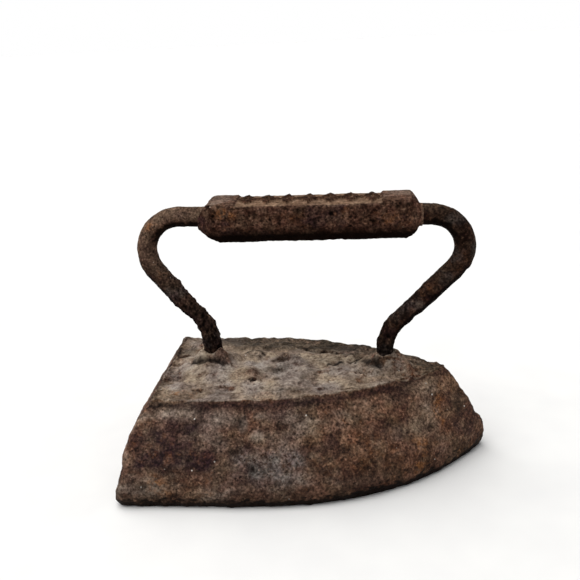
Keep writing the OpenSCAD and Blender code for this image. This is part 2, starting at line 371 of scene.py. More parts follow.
body_low, body_high = box_mm("body")
HEEL_X, TOE_X = body_low[0], body_high[0]
SOLE_HALF_W = body_high[1]
RIM_Z = 39.2
GROOVE_Z = 12.6
GROOVE_IN = 3.0
RIM_IN = {"heel": 15.0, "side": 18.7, "toe": 18.1}
WALL_CURVE = {"heel": 2.0, "side": 1.3, "toe": 1.3}
CROWN = 2.1
RIM_WEAR, RIM_WEAR_REACH = 2.6, 7.5
SOLE_POWER, RIM_POWER = 3.35, 2.6
WIDEST_AT = 0.16
CORNER_R, RIM_CORNER_R = 4.5, 1.6
TIP_ROUND = 1.0
# Height, and the distance inside the edge at the heel, at the sides and at the toe.
FLANGE = np.array([
    (0.0, 1.6, 1.6, 1.9), (1.2, 0.8, 0.6, 0.9), (3.0, 0.5, 0.0, 0.2), (5.0, 0.8, -0.2, 0.0),
    (7.0, 1.3, 0.1, 0.1), (9.0, 1.9, 0.9, 0.3), (11.0, 2.4, 2.1, 0.6), (13.0, 2.9, 3.1, 1.2),
    (14.5, 3.2, 3.7, 1.9), (15.7, 3.9, 3.8, 3.6), (17.0, 3.7, 3.9, 4.6)])
FLANGE_TOP = FLANGE[-1, 0]
REAR_X, FRONT_X = -42.2, 34.4

SIDE_STEPS, CORNER_STEPS, ACROSS_STEPS, WALL_STEPS = 214, 11, 108, 80


def insets(z):
    """How far the wall lies inside the sole's edge at heights z: at the heel, the sides and the toe."""
    out = []
    for column, where in enumerate(("heel", "side", "toe"), start=1):
        low = np.interp(z, FLANGE[:, 0], FLANGE[:, column])
        s = np.clip((z - GROOVE_Z) / (RIM_Z - GROOVE_Z), 0, 1)
        high = GROOVE_IN + (RIM_IN[where] - GROOVE_IN) * s ** WALL_CURVE[where]
        share = smooth(z, FLANGE_TOP - 2, FLANGE_TOP + 2)
        out.append(low * (1 - share) + high * share)
    return out


def soften(values, passes):
    """Rounds the kinks of a sampled curve and keeps its ends."""
    for _ in range(passes):
        values[1:-1] = 0.25 * values[:-2] + 0.5 * values[1:-1] + 0.25 * values[2:]
    return values


def half_outline(in_heel, in_side, in_toe, power, corner, share):
    """One side of the outline, from the toe to the end of the heel's corner, at shares of the way."""
    heel, toe, half_w = HEEL_X + in_heel, TOE_X - in_toe, SOLE_HALF_W - in_side
    start = heel + (toe - heel) * WIDEST_AT
    last = heel + corner
    x = toe - (toe - last) * share
    t = np.clip((x - start) / (toe - start), 0, 1)
    y = half_w * (1 - t ** power)
    y = np.sqrt(y * y + 2 * TIP_ROUND * y) - TIP_ROUND * y / half_w
    top = y[-1]
    a = np.linspace(0, math.pi / 2, CORNER_STEPS + 1)[1:]
    corner_x = last - corner * np.sin(a)
    corner_y = top - corner + corner * np.cos(a)
    return np.concatenate([x, corner_x]), np.concatenate([y, corner_y])


def even_shares():
    """Shares of the way along the side that are evenly spaced round the curve."""
    fine = np.linspace(0, 1, 4000)
    x, y = half_outline(6, 6, 6, SOLE_POWER, CORNER_R, fine)
    x, y = x[:4000], y[:4000]
    length = np.concatenate([[0], np.cumsum(np.hypot(np.diff(x), np.diff(y)))])
    return np.interp(np.linspace(0, length[-1], SIDE_STEPS + 1), length, fine)


def body_mesh():
    """The smooth body: rings up the wall, then a grid over the top and another under the sole."""
    fine_z = np.linspace(0, RIM_Z, 1200)
    profile = [soften(v.copy(), 220) for v in insets(fine_z)]
    length = np.concatenate([[0], np.cumsum(np.hypot(np.diff(fine_z), np.diff(profile[1])))])
    z = np.interp(np.linspace(0, length[-1], WALL_STEPS + 1), length, fine_z)
    share = even_shares()
    half_count = SIDE_STEPS + CORNER_STEPS + 1
    across = np.linspace(1, -1, ACROSS_STEPS + 1)
    rings, halves = [], []
    for height in z:
        inside = [float(np.interp(height, fine_z, v)) for v in profile]
        s = np.clip((height - GROOVE_Z) / (RIM_Z - GROOVE_Z), 0, 1)
        power = SOLE_POWER + (RIM_POWER - SOLE_POWER) * s
        x, y = half_outline(*inside, power, CORNER_R + (RIM_CORNER_R - CORNER_R) * s, share)
        halves.append((x, y))
        heel_y = across[1:-1] * y[-1]
        ring_x = np.concatenate([x, np.full(len(heel_y), x[-1]), x[:0:-1]])
        ring_y = np.concatenate([y, heel_y, -y[:0:-1]])
        rings.append(np.stack([ring_x, ring_y, np.full(len(ring_x), height)], axis=1))
    count = len(rings[0])
    points = np.concatenate(rings)
    quads = [grid_faces(len(rings), count, True)]

    # Row i of a face's grid runs across the body between the two sides' points i; its ends are ring points.
    for level, flip in ((len(z) - 1, False), (0, True)):
        x, y = halves[level]
        ring_start = level * count
        index = np.zeros((half_count, ACROSS_STEPS + 1), int)
        index[0] = ring_start
        index[-1] = ring_start + half_count - 1 + np.arange(ACROSS_STEPS + 1)
        rows = np.arange(1, half_count - 1)
        index[1:-1, 0] = ring_start + rows
        index[1:-1, -1] = ring_start + count - rows
        inner = np.arange(len(rows) * (ACROSS_STEPS - 1)).reshape(len(rows), -1)
        index[1:-1, 1:-1] = len(points) + inner
        gx = np.repeat(x[rows, None], ACROSS_STEPS - 1, axis=1)
        gy = y[rows, None] * across[None, 1:-1]
        points = np.concatenate([
            points, np.stack([gx, gy, np.full_like(gx, z[level])], axis=-1).reshape(-1, 3)])
        a, b = index[:-1, :-1], index[:-1, 1:]
        c, d = index[1:, 1:], index[1:, :-1]
        quads.append(np.stack([a, b, c, d] if flip else [a, d, c, b], axis=-1).reshape(-1, 4))
    kinds = np.concatenate([
        np.zeros(len(rings) * count), np.ones((half_count - 2) * (ACROSS_STEPS - 1)),
        np.full((half_count - 2) * (ACROSS_STEPS - 1), 2)])
    kinds[(len(z) - 1) * count:len(z) * count] = 1
    kinds[:count] = 2
    return points, np.concatenate(quads), kinds


def rim_distance(p):
    """How far a point of the top face lies inside the rim, in millimetres, roughly."""
    heel, toe = HEEL_X + RIM_IN["heel"], TOE_X - RIM_IN["toe"]
    half_w = SOLE_HALF_W - RIM_IN["side"]
    start = heel + (toe - heel) * WIDEST_AT
    t = np.clip((p[:, 0] - start) / (toe - start), 0, 1)
    side = (half_w * (1 - t ** RIM_POWER) - np.abs(p[:, 1])) * (1 - 0.35 * t)
    return np.minimum(side, p[:, 0] - heel)


# Knobs and craters left on the top face by the mould: x, y, radius, height of the ring, depth of the middle.
BLISTERS = [
    (-25, 9, 4.1, 0.7, 0.3), (-39, -25.5, 3.2, 0.3, 0.4), (-21.4, -24, 2.8, 0.4, 0.3),
    (-16.5, -23.5, 2.4, 0.3, 0.3), (-1.3, -14.2, 2.8, 0.2, 0.4), (12, -1.6, 3.2, 0.5, 0.8),
    (7, 17, 3, 0.4, 0.7), (-53, 19, 3.6, 0.4, 0.6), (-12, 21, 3, 0.4, 0.6), (24.3, -9.4, 2.2, 0.3, 0.9),
    (47, 3, 2.6, 0.4, 0.6)]
# Folds the iron froze in: points in plan, half width and height.
FOLDS = [
    ([(-15.2, 3.2), (-11.1, 8), (-6.2, 4.8), (-4, 2.6)], 2.4, 1.7),
    ([(-16.2, 0.6), (-11.1, 4.2), (-6.8, 1.8)], 2.6, -0.45),
    ([(-13.2, -5.5), (-9.4, -2.2), (-3.4, -2), (0.5, -4.5)], 2.6, 1),
    ([(-17.5, -8.8), (-13, -9), (-9, -7)], 2.6, -0.8),
    ([(-24.9, -15), (-23.2, -15.4), (-21.4, -14.9)], 0.75, -1.7),
    ([(18.7, -0.6), (21.5, 3.4), (23.8, 7.8)], 1.5, -0.8),
    ([(16.2, 0.8), (18.8, 4.6), (21.4, 9.4)], 1.8, 0.8), ([(25, 2), (27.6, -3), (32, -5.6)], 3.4, -0.9),
    ([(31, -6), (38, -9.6)], 2.6, -0.7), ([(38.6, 3.2), (41.8, -0.5), (44.2, -5), (46.4, -10.5)], 3, 1.6),
    ([(23, -9.5), (28, -13), (34, -14.5)], 2.6, 0.9), ([(-46.8, -23.6), (-43.6, -24.2)], 1.2, -1),
    ([(-44.6, -22.6), (-36.3, -20), (-28, -21)], 1.6, 0.6),
    ([(-11, -24.6), (-2, -25.2), (9.4, -22.8), (18, -21.4)], 1.6, -0.6),
    ([(-10, -22), (0, -22.6), (9, -20.4)], 2.2, 0.5),
    ([(-54.2, 2), (-51.4, -2.4), (-48, -4.3), (-45.6, -4.2), (-42.6, -5.1), (-39.4, -5.1), (-36.8, -6)],
     1.05, -1.3),
    ([(-2, 16), (6, 13.5), (14, 12)], 2, -0.9), ([(-31, 16), (-22, 18.5), (-12, 16.5)], 2.2, 0.7),
    ([(2, 6.5), (8, 8.5), (15, 6)], 2.2, 0.7), ([(-62, 10), (-57, 12)], 2.4, -0.9)]
# Spots of the top face where the dust is thin: x, y, radius and how much is missing.
BARE = [
    (-23.6, -11, 4.6, 0.8), (-20.4, -13, 2.6, 0.5), (-37.8, -1.6, 3, 0.8), (-24.8, 9, 1.6, 0.5),
    (12, -1.6, 3, 0.7), (-14.8, -7.2, 2.8, 0.5), (-39, -25.5, 2.8, 0.5), (-10.8, 4.6, 3.6, 0.5),
    (27.5, -2.6, 5.6, 0.6), (24.3, -9.4, 2.2, 0.5), (-11.8, -14.6, 2.2, 0.5), (2.2, -7.3, 1.7, 0.5),
    (4, -10.8, 1.5, 0.4), (2.9, -13.9, 1.5, 0.4), (23.6, -16.6, 4, 0.45), (-60, 10, 4, 0.7),
    (-52, 23, 12, 0.45), (-58, -20, 3, 0.6), (-60, -6, 2.6, 0.6), (-3.4, 17, 3.4, 0.6),
    (-52.5, -27.4, 6, 0.4)]
# Broad darker areas of the top face: x, y, radius along X and Y, and strength.
DARK_AREAS = [
    (-58, 16, 10, 10, 0.6), (-42, 27, 28, 9, 0.62), (12, 1, 24, 13, 0.3), (-53, -7, 10, 12, 0.16),
    (33, -7, 10, 8, 0.3), (-40, -27, 26, 6, 0.12), (-17, -4, 8, 7, 0.12), (12, 19, 18, 7, 0.55),
    (-52, -29, 9, 4, 0.2)]
# Dark marks on the top face: painted shadows under the folds and the rear boss, round the ring and in the
# creases and the slit, and darker paint in pits and on the mound; points in plan, half width and strength.
SHADOWS = [
    ([(-28.6, 8.4), (-27.7, 11.2), (-25.6, 12.8), (-22.7, 11.6), (-20.8, 8.6)], 1.3, 0.85),
    ([(-28.4, 8), (-26.3, 6), (-23.2, 5.9), (-21.2, 7.6)], 1.1, 0.45),
    ([(-24.9, 9.1), (-24.3, 9.1)], 1.2, 0.9),
    ([(-15.6, 1.8), (-13.9, 3.6), (-11.1, 5.4), (-7.6, 5), (-4.6, 2.6)], 1.6, 0.32),
    ([(-16.9, -6.2), (-13.4, -7.8), (-12.3, -6.8)], 1.5, 0.6), ([(-11.1, -5.8), (-6.9, -4.7)], 1.2, 0.35),
    ([(-51.9, -0.8), (-49.2, -3.3), (-46.4, -4.5), (-44, -5.1), (-40.8, -5), (-38, -4.8), (-35.9, -4.8)],
     1, 0.75),
    ([(9.2, -1.9), (11.6, -1.9), (14.5, -1)], 2, 0.75),
    ([(18.7, -0.6), (21.5, 3.4), (23.8, 7.8)], 1, 0.8), ([(21.1, -0.8), (23.4, 5)], 0.9, 0.7),
    ([(24.8, 0.6), (27.6, -3), (30.8, -5.2)], 3.2, 0.35), ([(23.8, -9.2), (25, -9.6)], 1.6, 0.65),
    ([(-3.4, 17.6), (-1.2, 17.4)], 1.5, 0.9),
    ([(-10.7, -23.9), (-7.9, -23.5), (-3.7, -23.9), (1.9, -23.2)], 1.3, 0.4),
    ([(-1.3, -11.4), (-1, -16.6)], 2, 0.35), ([(2, -7.3), (2.4, -7.3)], 1.5, 0.5),
    ([(-39.2, -25.5), (-38.8, -25.5)], 2.2, 0.35), ([(-12.2, -14.6), (-11.4, -14.6)], 1.5, 0.5),
    ([(3.8, -10.8), (4.2, -10.8)], 1.3, 0.4), ([(2.6, -13.9), (3.2, -13.9)], 1.3, 0.4),
    ([(-24.4, -9.6), (-23, -10.6), (-21, -11.6)], 3.4, 0.55),
    ([(-24.8, -15.2), (-21.8, -15.2)], 0.75, 0.85)]


def flow_lines(p):
    """Thin wandering lines that the iron froze in across the top face."""
    q = p * (0.55, 1.0, 1.0) + 1.5 * drift(p, 8.0, 101, 103)
    return np.maximum(band(noise(q, 9.0, 105), 0, 0.07), 0.7 * band(noise(q, 5.0, 107), 0, 0.09))


def top_relief(p):
    """Height of the top face over the rim's plane: its crown, bosses, blisters and folds."""
    inside = np.clip(rim_distance(p), 0, None)
    q = p + drift(p, 5.0, 43, 44) * 0.8
    height = CROWN * smooth(inside, 0, 26)
    lip = 0.3 + 0.4 * noise(p, 9.0, 46)
    gutter = 0.5 * np.clip(noise(p, 13.0, 45), 0, 1)
    height += lip * band(inside, 0.9, 0.9) - gutter * band(inside, 4.0, 1.8)
    for x, rise, collar in ((REAR_X, 3.0, 3.2), (FRONT_X, 3.4, 2.9)):
        d = np.hypot(q[:, 0] - x, q[:, 1])
        height += rise * (1 - smooth(d + 0.9 * noise(p, 7.0, 41), 5.6, 13.5))
        height += collar * (1 - smooth(d + 0.8 * noise(p, 2.6, 42), 3.9, 7.2))
    height += 1.9 * plan_spot(q, -49.4, -0.4, 5.4, 4.6) + 2.3 * plan_spot(q, -38.0, -2.2, 3.8, 3.4)
    height -= 0.8 * plan_spot(q, 26.5, -4.5, 4.5, 3.5)
    height += 1.9 * plan_spot(q, -23.4, -10.8, 4.4, 4.6) + 0.7 * plan_spot(q, 26.0, 3.0, 4.0)
    for x, y, radius, ring, middle in BLISTERS:
        d = np.hypot(q[:, 0] - x, q[:, 1] - y)
        height += ring * band(d, radius * 0.8, radius * 0.25)
        height -= middle * (1 - smooth(d, 0, radius * 0.75))
    for line, width, rise in FOLDS:
        height += rise * stroke(q, line, width)
    ripple = np.abs(noise(p * (0.55, 1.0, 1.0), 11.0, 53))
    height += (1.1 * (0.3 - ripple) + 0.45 * fbm(p, 15.0, 2, 57)) * smooth(inside, 2, 9)
    height -= 0.22 * flow_lines(p) * smooth(inside, 1, 6)
    return height


def paint_spots(p, spots):
    """The largest of a list of spots, each a centre, a radius along each axis and a strength."""
    best = np.zeros(len(p))
    for centre, radius, strength in spots:
        best = np.maximum(best, strength * spot(p, centre, radius))
    return best


def round_front_rim(points, is_top):
    """Wears the near side of the rim away towards the toe."""
    share = smooth(points[:, 0], 36, 48) * (1 - smooth(points[:, 1], -11, -2))
    from_rim = np.clip(np.where(is_top, rim_distance(points), RIM_Z - points[:, 2]) / RIM_WEAR_REACH, 0, 1)
    worn = share * (1 - from_rim) ** 2
    points[:, 2] -= RIM_WEAR * worn
    points[:, 1] *= 1 - 0.12 * worn
    points[:, 0] -= 1.0 * worn


def build_body():
    points, quads, kinds = body_mesh()
    is_top, is_sole = kinds == 1, kinds == 2
    relief = top_relief(points[is_top])
    round_front_rim(points, is_top)
    points[is_top, 2] += relief
    normals = vertex_normals(points, quads)
    p = points.copy()
    px, py, pz = p.T
    wall = (~is_top & ~is_sole).astype(float)
    top = is_top.astype(float)
    sole = is_sole.astype(float)
    near_rim = band(pz, RIM_Z, 3.0)
    inside = np.clip(rim_distance(p), 0, None)

    at_heel = 1 - smooth(px, -62, -52)
    lumps = fbm(p, 9.0, 3, 11)
    medium = fbm(p, 3.4, 3, 21, 0.6)
    small = pits(p, 2.4, 31, 0.55)
    large = pits(p, 6.0, 35, 0.3)
    fine = pits(p, 1.6, 37, 0.5)
    push = 0.35 * fbm(p, 38.0, 2, 5)
    push += lumps * (0.26 * wall + 0.42 * top)
    push += medium * (0.22 * wall + 0.17 * top)
    push -= small * (0.30 * wall + 0.22 * top) + large * (0.34 * wall + 0.2 * top) + 0.22 * fine * wall
    push += 0.6 * np.minimum(noise(p, 4.0, 61), 0.1) * near_rim
    push -= 0.9 * smooth(noise(p, 6.0, 67), 0.4, 0.75) * near_rim
    push -= 0.7 * smooth(noise(p, 2.6, 69), 0.2, 0.6) * near_rim * at_heel
    push -= 0.5 * sole * (0.4 * small + large * 0.6)
    push += 1.1 * spot(p, (HEEL_X + RIM_IN["heel"], SOLE_HALF_W - RIM_IN["side"], RIM_Z), (5, 5, 6))
    push = np.where(is_sole, np.minimum(push, 0), push)
    points = points + normals * push[:, None]
    points[:, 2] = np.maximum(points[:, 2], 0.0)

    normals = vertex_normals(points, quads)
    up = normals[:, 2]
    patches = fbm(p, 16.0, 3, 71)
    streaks = fbm(p * (0.5, 1.0, 1.0), 8.0, 3, 73)
    far_side = smooth(py + 0.45 * np.clip(px - 5, 0, 50), 9, 20) * smooth(px, -46, -28)
    dust_and_painted_light = top * smooth(up + 0.2 * medium + 0.1 * lumps, 0.5, 0.92)
    dust_and_painted_light *= np.clip(0.9 + 0.35 * streaks, 0, 1)
    blurred_plan = p + 0.35 * drift(p, 2.2, 97, 99)
    dust_and_painted_light *= 1 - 0.25 * flow_lines(p) * smooth(inside, 0.5, 4)
    for x, y, r, strength in BARE:
        dust_and_painted_light *= 1 - strength * plan_spot(p, x, y, r)
    dust_and_painted_light *= 1 - 0.6 * plan_spot(p, 58, 0, 14, 14) - 0.35 * band(inside, 2.5, 2.5)
    # Painted light on the rear boss's facets, given as full dusty colour.
    mound_dust_and_painted_light = (1.15 * plan_spot(p, -48.6, -1.8, 5.8, 4.8) + 0.9 * plan_spot(p, -45.4, -4.0, 3.4, 2.4)
                  + 0.5 * plan_spot(p, -41.5, -4.6, 2.6, 1.2))
    dust_and_painted_light = np.maximum(dust_and_painted_light, top * mound_dust_and_painted_light)
    under_rim = wall * band(pz, 37.4, 1.3)
    ledge = wall * band(pz, 8.5, 2.4)
    evener = 1 - 0.45 * smooth(px, -5, 20)
    wall_dust = wall * np.clip(0.06 + 0.33 * evener * streaks, 0, 1)
    dust_and_painted_light += wall_dust * smooth(up, 0.1, 0.6) * (1 - 0.9 * under_rim)
    dust_and_painted_light += 0.08 * ledge * np.clip(0.6 + patches, 0, 1)
    toe_wear = smooth(px, 38, 50) * (1 - smooth(py, -11, -1))
    dust_and_painted_light += 0.22 * wall * toe_wear * smooth(pz, 28, 37)
    dust_and_painted_light += 0.9 * wall * paint_spots(p, [
        ((-24.3, -37, 31), (2.8, 6, 5), 0.7), ((-18.5, -39, 27), (4, 6, 3.2), 0.75),
        ((-50, -35, 35), (13, 7, 5), 0.6), ((-34, -36, 33), (13, 7, 6), 0.5),
        ((-62, -48, 8), (12, 9, 6), 0.6), ((-38, -49, 6), (12, 8, 3.5), 0.35),
        ((52, -22, 25), (12, 12, 13), 0.42)])
    warm = 0.5 + 0.9 * fbm(p, 12.0, 2, 77) + 0.5 * far_side
    for x, y, radius_x, radius_y, more in (
            (-27, 5, 16, 9, 0.9), (-2, -15, 24, 10, -0.6), (16, 4, 26, 12, 0.6),
            (-44, 2, 9, 13, 0.8), (-55, -26, 11, 7, 0.8)):
        warm += more * plan_spot(p, x, y, radius_x, radius_y)
    warm = np.where(top > 0, warm, 0.35 + 0.6 * smooth(px, -2, 20) + 0.5 * fbm(p, 9.0, 2, 79)
                    + 0.8 * spot(p, (-56, -48, 7), (20, 12, 7)))
    # Painted shade: a dark band along the bottom of the wall, weaker at the toe and the heel end, and on
    # faces that point down.
    height = pz + 0.8 * medium
    under = 1 - 0.4 * smooth(px, 15, 55) - 0.15 * (1 - smooth(px, -78, -50))
    below = np.maximum(1.0 - smooth(height, 2.2, 5.6), 0.5 * (1 - smooth(height, 4.5, 10.5))) * under
    below = np.maximum(below, smooth(-up + 0.03 * medium, -0.04, 0.2)) * (1 - top)
    hollow_and_painted_shade = wall * (0.4 * small + 0.5 * large + 0.35 * fine) + top * (0.2 * small + 0.18 * large)
    hollow_and_painted_shade += 0.35 * under_rim * np.clip(0.7 + 0.8 * medium, 0, 1)
    # The wall darker towards the bottom, then the painted shade from above, a little on the ledge, and the
    # sole half dark.
    low_wall = wall * (0.15 + 0.09 * smooth(px, -10, 30) - 0.14 * smooth(px, 42, 54))
    hollow_and_painted_shade += low_wall * (1 - smooth(pz, 10, 30))
    hollow_and_painted_shade = np.maximum(hollow_and_painted_shade, 0.97 * below) + 0.06 * ledge
    hollow_and_painted_shade += 0.1 * wall * (1 - smooth(pz, 8, 14)) * smooth(px, -30, -5)
    hollow_and_painted_shade = np.maximum(hollow_and_painted_shade, sole * 0.5)
    edge = band(inside, 0.6, 1.8) * top + wall * band(pz, 38.6, 2.0)
    edge *= at_heel * np.clip(0.75 + 1.1 * medium, 0, 1)
    hollow_and_painted_shade += 0.6 * edge
    dust_and_painted_light *= 1 - 0.75 * edge
    # Painted shade along the deepest folds.
    for line, width, rise in FOLDS:
        if rise < -0.75:
            hollow_and_painted_shade += top * stroke(p, line, width * 0.85) * min(1.0, -rise * 0.42)
    for x, y, radius_x, radius_y, strength in DARK_AREAS:
        hollow_and_painted_shade += top * strength * plan_spot(p, x, y, radius_x, radius_y)
    # Painted shadows and dark marks from the table above.
    for line, width, strength in SHADOWS:
        hollow_and_painted_shade += top * strength * stroke(blurred_plan, line, width)
    blurred = p + 2.6 * drift(p, 6.5, 91, 93, 95)
    orange = paint_spots(blurred, [
        ((44.6, -31, 8), (10, 9, 3.6), 1.2), ((47.5, -27, 15.5), (6, 9, 8), 0.85),
        ((55.5, -13, 26.5), (5, 8, 7), 1.3), ((57, -15.5, 20), (4, 8, 5), 0.9),
        ((57, -12, 33), (4.5, 8, 5), 1.2), ((14.9, -32, 29), (3, 6, 2.2), 1),
        ((23.8, -29, 28.6), (3, 6, 2.2), 1), ((31, -38, 19), (24, 14, 15), 0.42),
        ((8, -42, 14), (14, 10, 8), 0.32), ((-52, -26, 40), (12, 5, 4), 1),
        ((-36.8, -1.6, 45.5), (2.8, 2.8, 3), 0.7), ((12, -1.4, 41), (4, 4, 3), 0.5),
        ((-25, 9, 41), (1.6, 1.6, 3), 0.8), ((28, -3, 42), (7, 7, 3), 0.5),
        ((48, -8, 40), (8, 8, 4), 0.35), ((-60, -49, 9), (10, 8, 6), 0.9),
        ((-38, -50, 6), (9, 8, 3), 0.5)])
    purple = wall * paint_spots(blurred, [
        ((-41.5, -45, 19), (11, 11, 8), 1.9), ((-61.5, -45, 18.5), (9, 11, 10), 1.9),
        ((-47, -38, 29), (14, 9, 6), 1.2), ((-58, -41, 26), (10, 10, 7), 1.3),
        ((-50, -44, 21), (24, 14, 14), 1.3), ((-68, -38, 26), (7, 12, 10), 1.2),
        ((-73, -20, 20), (10, 22, 12), 0.9), ((-70, 24, 26), (10, 20, 10), 0.8),
        ((-4, 46, 18), (20, 12, 10), 0.8), ((35, 34, 14), (14, 12, 9), 0.7),
        ((28, -39, 11), (10, 8, 5), 0.5)])
    purple = np.maximum(purple, wall * smooth(patches, 0.2, 0.6) * 0.5)
    purple = np.maximum(purple, 0.75 * under_rim)
    # Bluish grey patches on the near wall, partly a painted sheen.
    blue_grey_and_painted_sheen = wall * paint_spots(blurred, [
        ((-15, -45, 16.5), (12, 10, 9), 1.5), ((-4.8, -43, 19), (8, 10, 9), 1.4),
        ((-25, -44, 19), (8, 10, 7), 0.9), ((-9, -47, 12), (13, 9, 5), 1),
        ((20, 42, 22), (16, 12, 10), 0.7)])
    purple *= 1 - 0.8 * np.clip(blue_grey_and_painted_sheen, 0, 1)
    blue_grey_and_painted_sheen = np.maximum(blue_grey_and_painted_sheen, top * 0.3 * smooth(fbm(p, 13.0, 2, 83), 0.2, 0.6))
    moss = top * far_side * np.clip(0.85 + smooth(py, 14, 22) + 0.6 * streaks, 0, 1)
    moss = np.maximum(moss, top * (0.8 * plan_spot(p, -59.5, 9.5, 5, 4) + 0.35 * plan_spot(p, -1, -1, 3, 4)
                                   + 0.5 * plan_spot(p, -1.2, -14, 2.2, 3.6)))
    moss = np.maximum(moss, wall * paint_spots(p, [
        ((66, -8, 24), (5, 10, 12), 0.6), ((40, 30, 30), (20, 12, 10), 0.5)]))
    dust_and_painted_light *= 1 - 0.9 * purple * wall
    dust_and_painted_light *= 1 - 0.5 * far_side
    paint = {"dust_and_painted_light": dust_and_painted_light, "warm": warm, "hollow_and_painted_shade": hollow_and_painted_shade, "orange": orange, "purple": purple, "blue_grey_and_painted_sheen": blue_grey_and_painted_sheen,
             "moss": moss}
    return add_piece("body_casting", points, quads, [], "body", body_rust, paint)


build_body()

# ---- Handle bar --------------------------------------------------------------------------------

BAR_R, FOOT_R = 4.1, 3.7
REAR_STRAIGHT_Z, FRONT_STRAIGHT_Z = 50.8, 47.1
REAR_LEAN, FRONT_LEAN = math.radians(38.8), math.radians(46.0)
FOOT_BEND_R, REAR_BEND_R, FRONT_BEND_R = 20.0, 15.0, 14.2
REAR_REACH = 27.3
BAR_FALL = math.radians(0.9)
BURIED_Z = 32.0
REAR_WELD_AT = FRONT_WELD_AT = 12.0
SCARF_ANGLE = math.radians(35)
BAR_STEP, BAR_SIDES = 0.45, 56


def arc(centre, radius, a0, a1):
    """Points of an arc in the X-Z plane, with angles from +X towards +Z."""
    count = max(8, int(abs(a1 - a0) * radius / BAR_STEP))
    a = np.linspace(a0, a1, count + 1)
    return np.stack([centre[0] + radius * np.cos(a), centre[1] + radius * np.sin(a)], axis=1)


def bar_route():
    """The bar's centre line in the X-Z plane from the rear foot to the front one, and its weld points."""
    rear_c = np.array([REAR_X - FOOT_BEND_R, REAR_STRAIGHT_Z])
    rear_foot = arc(rear_c, FOOT_BEND_R, 0, REAR_LEAN)
    rear_dir = np.array([-math.sin(REAR_LEAN), math.cos(REAR_LEAN)])
    rear_knee = rear_foot[-1] + rear_dir * REAR_REACH
    rear_bend_c = rear_knee + REAR_BEND_R * np.array([math.cos(REAR_LEAN), math.sin(REAR_LEAN)])
    rear_bend = arc(rear_bend_c, REAR_BEND_R, math.pi + REAR_LEAN, math.pi / 2 - BAR_FALL)
    front_c = np.array([FRONT_X + FOOT_BEND_R, FRONT_STRAIGHT_Z])
    front_foot = arc(front_c, FOOT_BEND_R, math.pi - FRONT_LEAN, math.pi)
    front_dir = np.array([math.sin(FRONT_LEAN), math.cos(FRONT_LEAN)])
    up = np.array([math.sin(BAR_FALL), math.cos(BAR_FALL)])
    over = front_foot[0] + FRONT_BEND_R * (np.array([-math.cos(FRONT_LEAN), math.sin(FRONT_LEAN)]) + up)
    reach = (up @ (rear_bend[-1] - over)) / (up @ front_dir)
    front_knee = front_foot[0] + front_dir * reach
    front_bend_c = front_knee + FRONT_BEND_R * np.array([-math.cos(FRONT_LEAN), math.sin(FRONT_LEAN)])
    front_bend = arc(front_bend_c, FRONT_BEND_R, math.pi / 2 - BAR_FALL, -FRONT_LEAN)
    route = np.concatenate([
        [[REAR_X, BURIED_Z]], rear_foot, rear_bend, front_bend, front_foot, [[FRONT_X, BURIED_Z]]])
    welds = rear_foot[-1] + rear_dir * REAR_WELD_AT, front_foot[0] + front_dir * FRONT_WELD_AT
    return route, welds


route, weld_points = bar_route()
route_length = np.concatenate([[0], np.cumsum(np.linalg.norm(np.diff(route, axis=0), axis=1))])
TOTAL = route_length[-1]


def on_route(s):
    """Point and unit direction of the centre line at lengths s."""
    x = np.interp(s, route_length, route[:, 0])
    z = np.interp(s, route_length, route[:, 1])
    x2 = np.interp(s + 0.4, route_length, route[:, 0]) - np.interp(s - 0.4, route_length, route[:, 0])
    z2 = np.interp(s + 0.4, route_length, route[:, 1]) - np.interp(s - 0.4, route_length, route[:, 1])
    size = np.maximum(np.hypot(x2, z2), 1e-9)
    return x, z, x2 / size, z2 / size


def length_at(point):
    """Length along the route of its point nearest to the one given."""
    s = np.linspace(0, TOTAL, 20000)
    x, z, _, _ = on_route(s)
    return s[np.argmin(np.hypot(x - point[0], z - point[1]))]


rear_weld, front_weld = (length_at(w) for w in weld_points)


